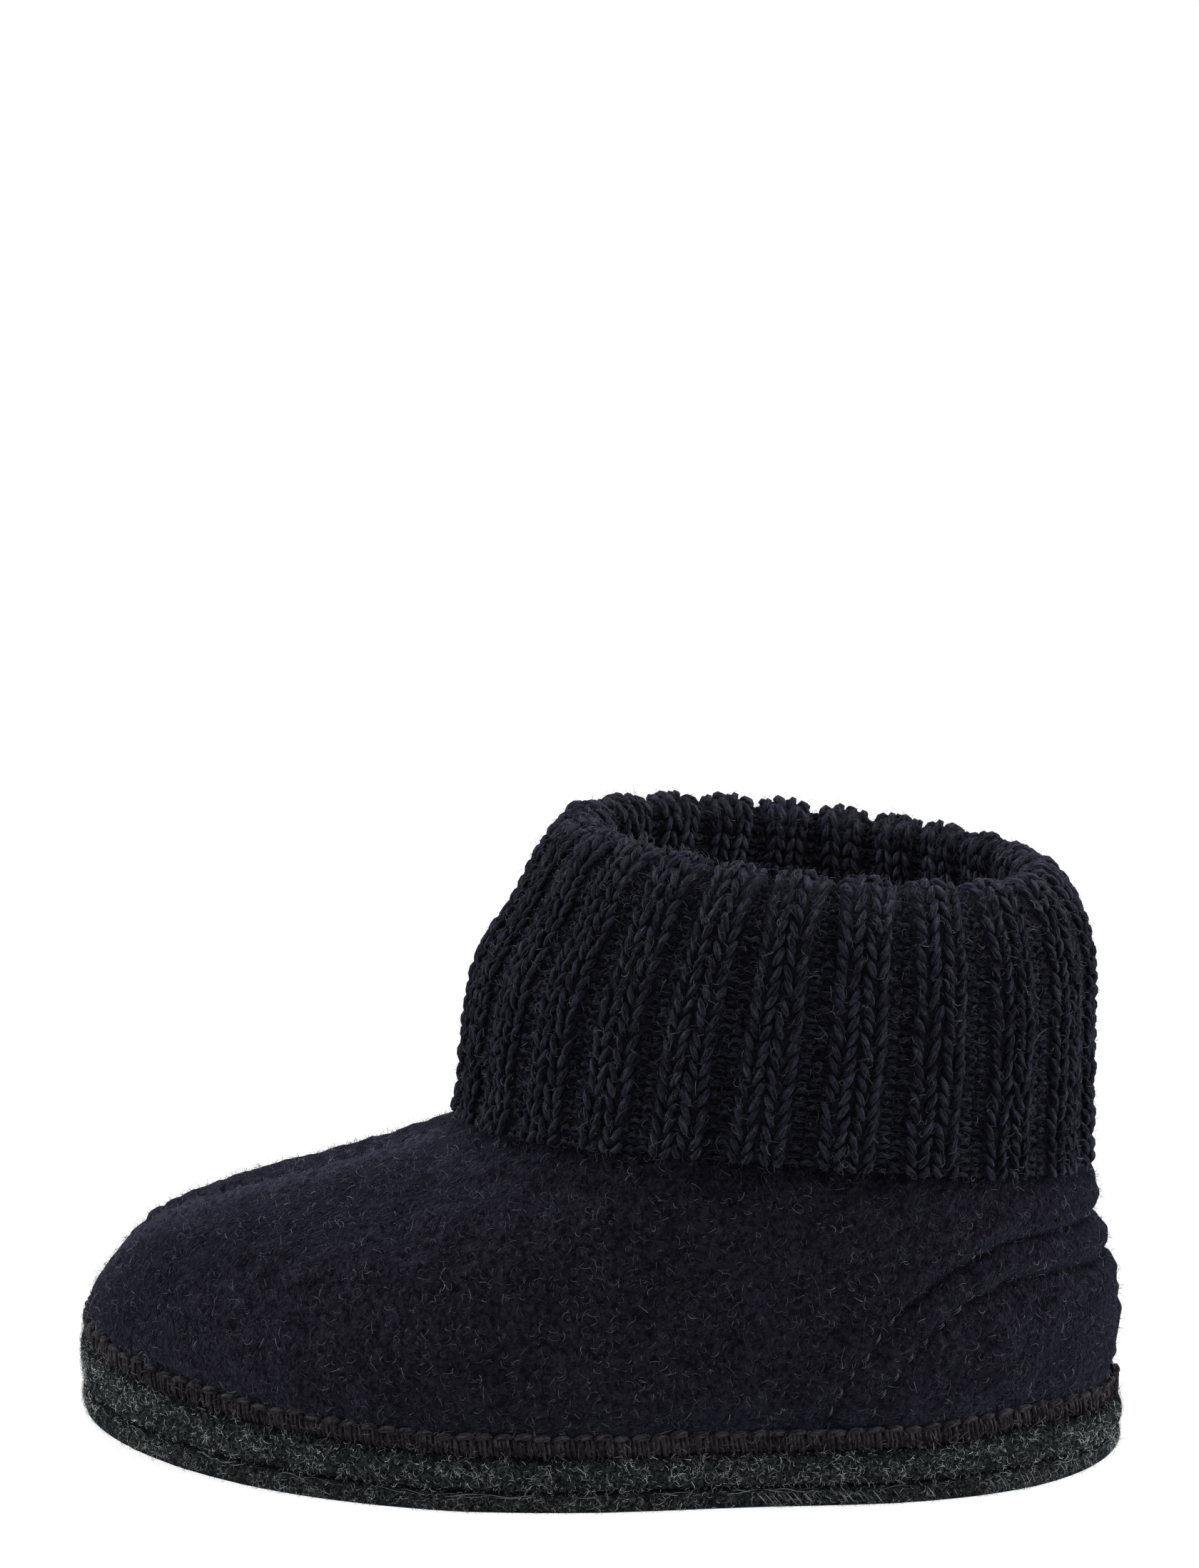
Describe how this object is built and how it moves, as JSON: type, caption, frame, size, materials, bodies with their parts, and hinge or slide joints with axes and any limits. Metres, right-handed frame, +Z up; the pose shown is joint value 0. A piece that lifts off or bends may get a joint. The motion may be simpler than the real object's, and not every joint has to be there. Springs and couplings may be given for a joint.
{
  "type": "wool slipper",
  "caption": "Child's left slipper bootee: boiled-wool upper on a layered felt sole, overlocked seam round the foot, ribbed knit cuff turned down over the collar.",
  "frame": {"origin": "on the floor under the middle of the overall length and width", "axes": "+X to the toe, +Y to the outer (left) side of the foot, +Z up"},
  "size_m": [0.18, 0.0761, 0.1104],
  "materials": {
    "sole_felt": "grey-green melange wool felt",
    "insole_felt": "grey wool felt",
    "seam_yarn": "dark brown wool yarn",
    "boiled_wool": "dark navy boiled wool, napped",
    "rib_knit": "dark navy two-by-two rib knit"
  },
  "bodies": {
    "root": {"outsole": "sole_felt", "midsole": "sole_felt", "insole": "insole_felt", "welt": "seam_yarn", "upper": "boiled_wool", "cuff": "rib_knit"}
  },
  "joints": []
}
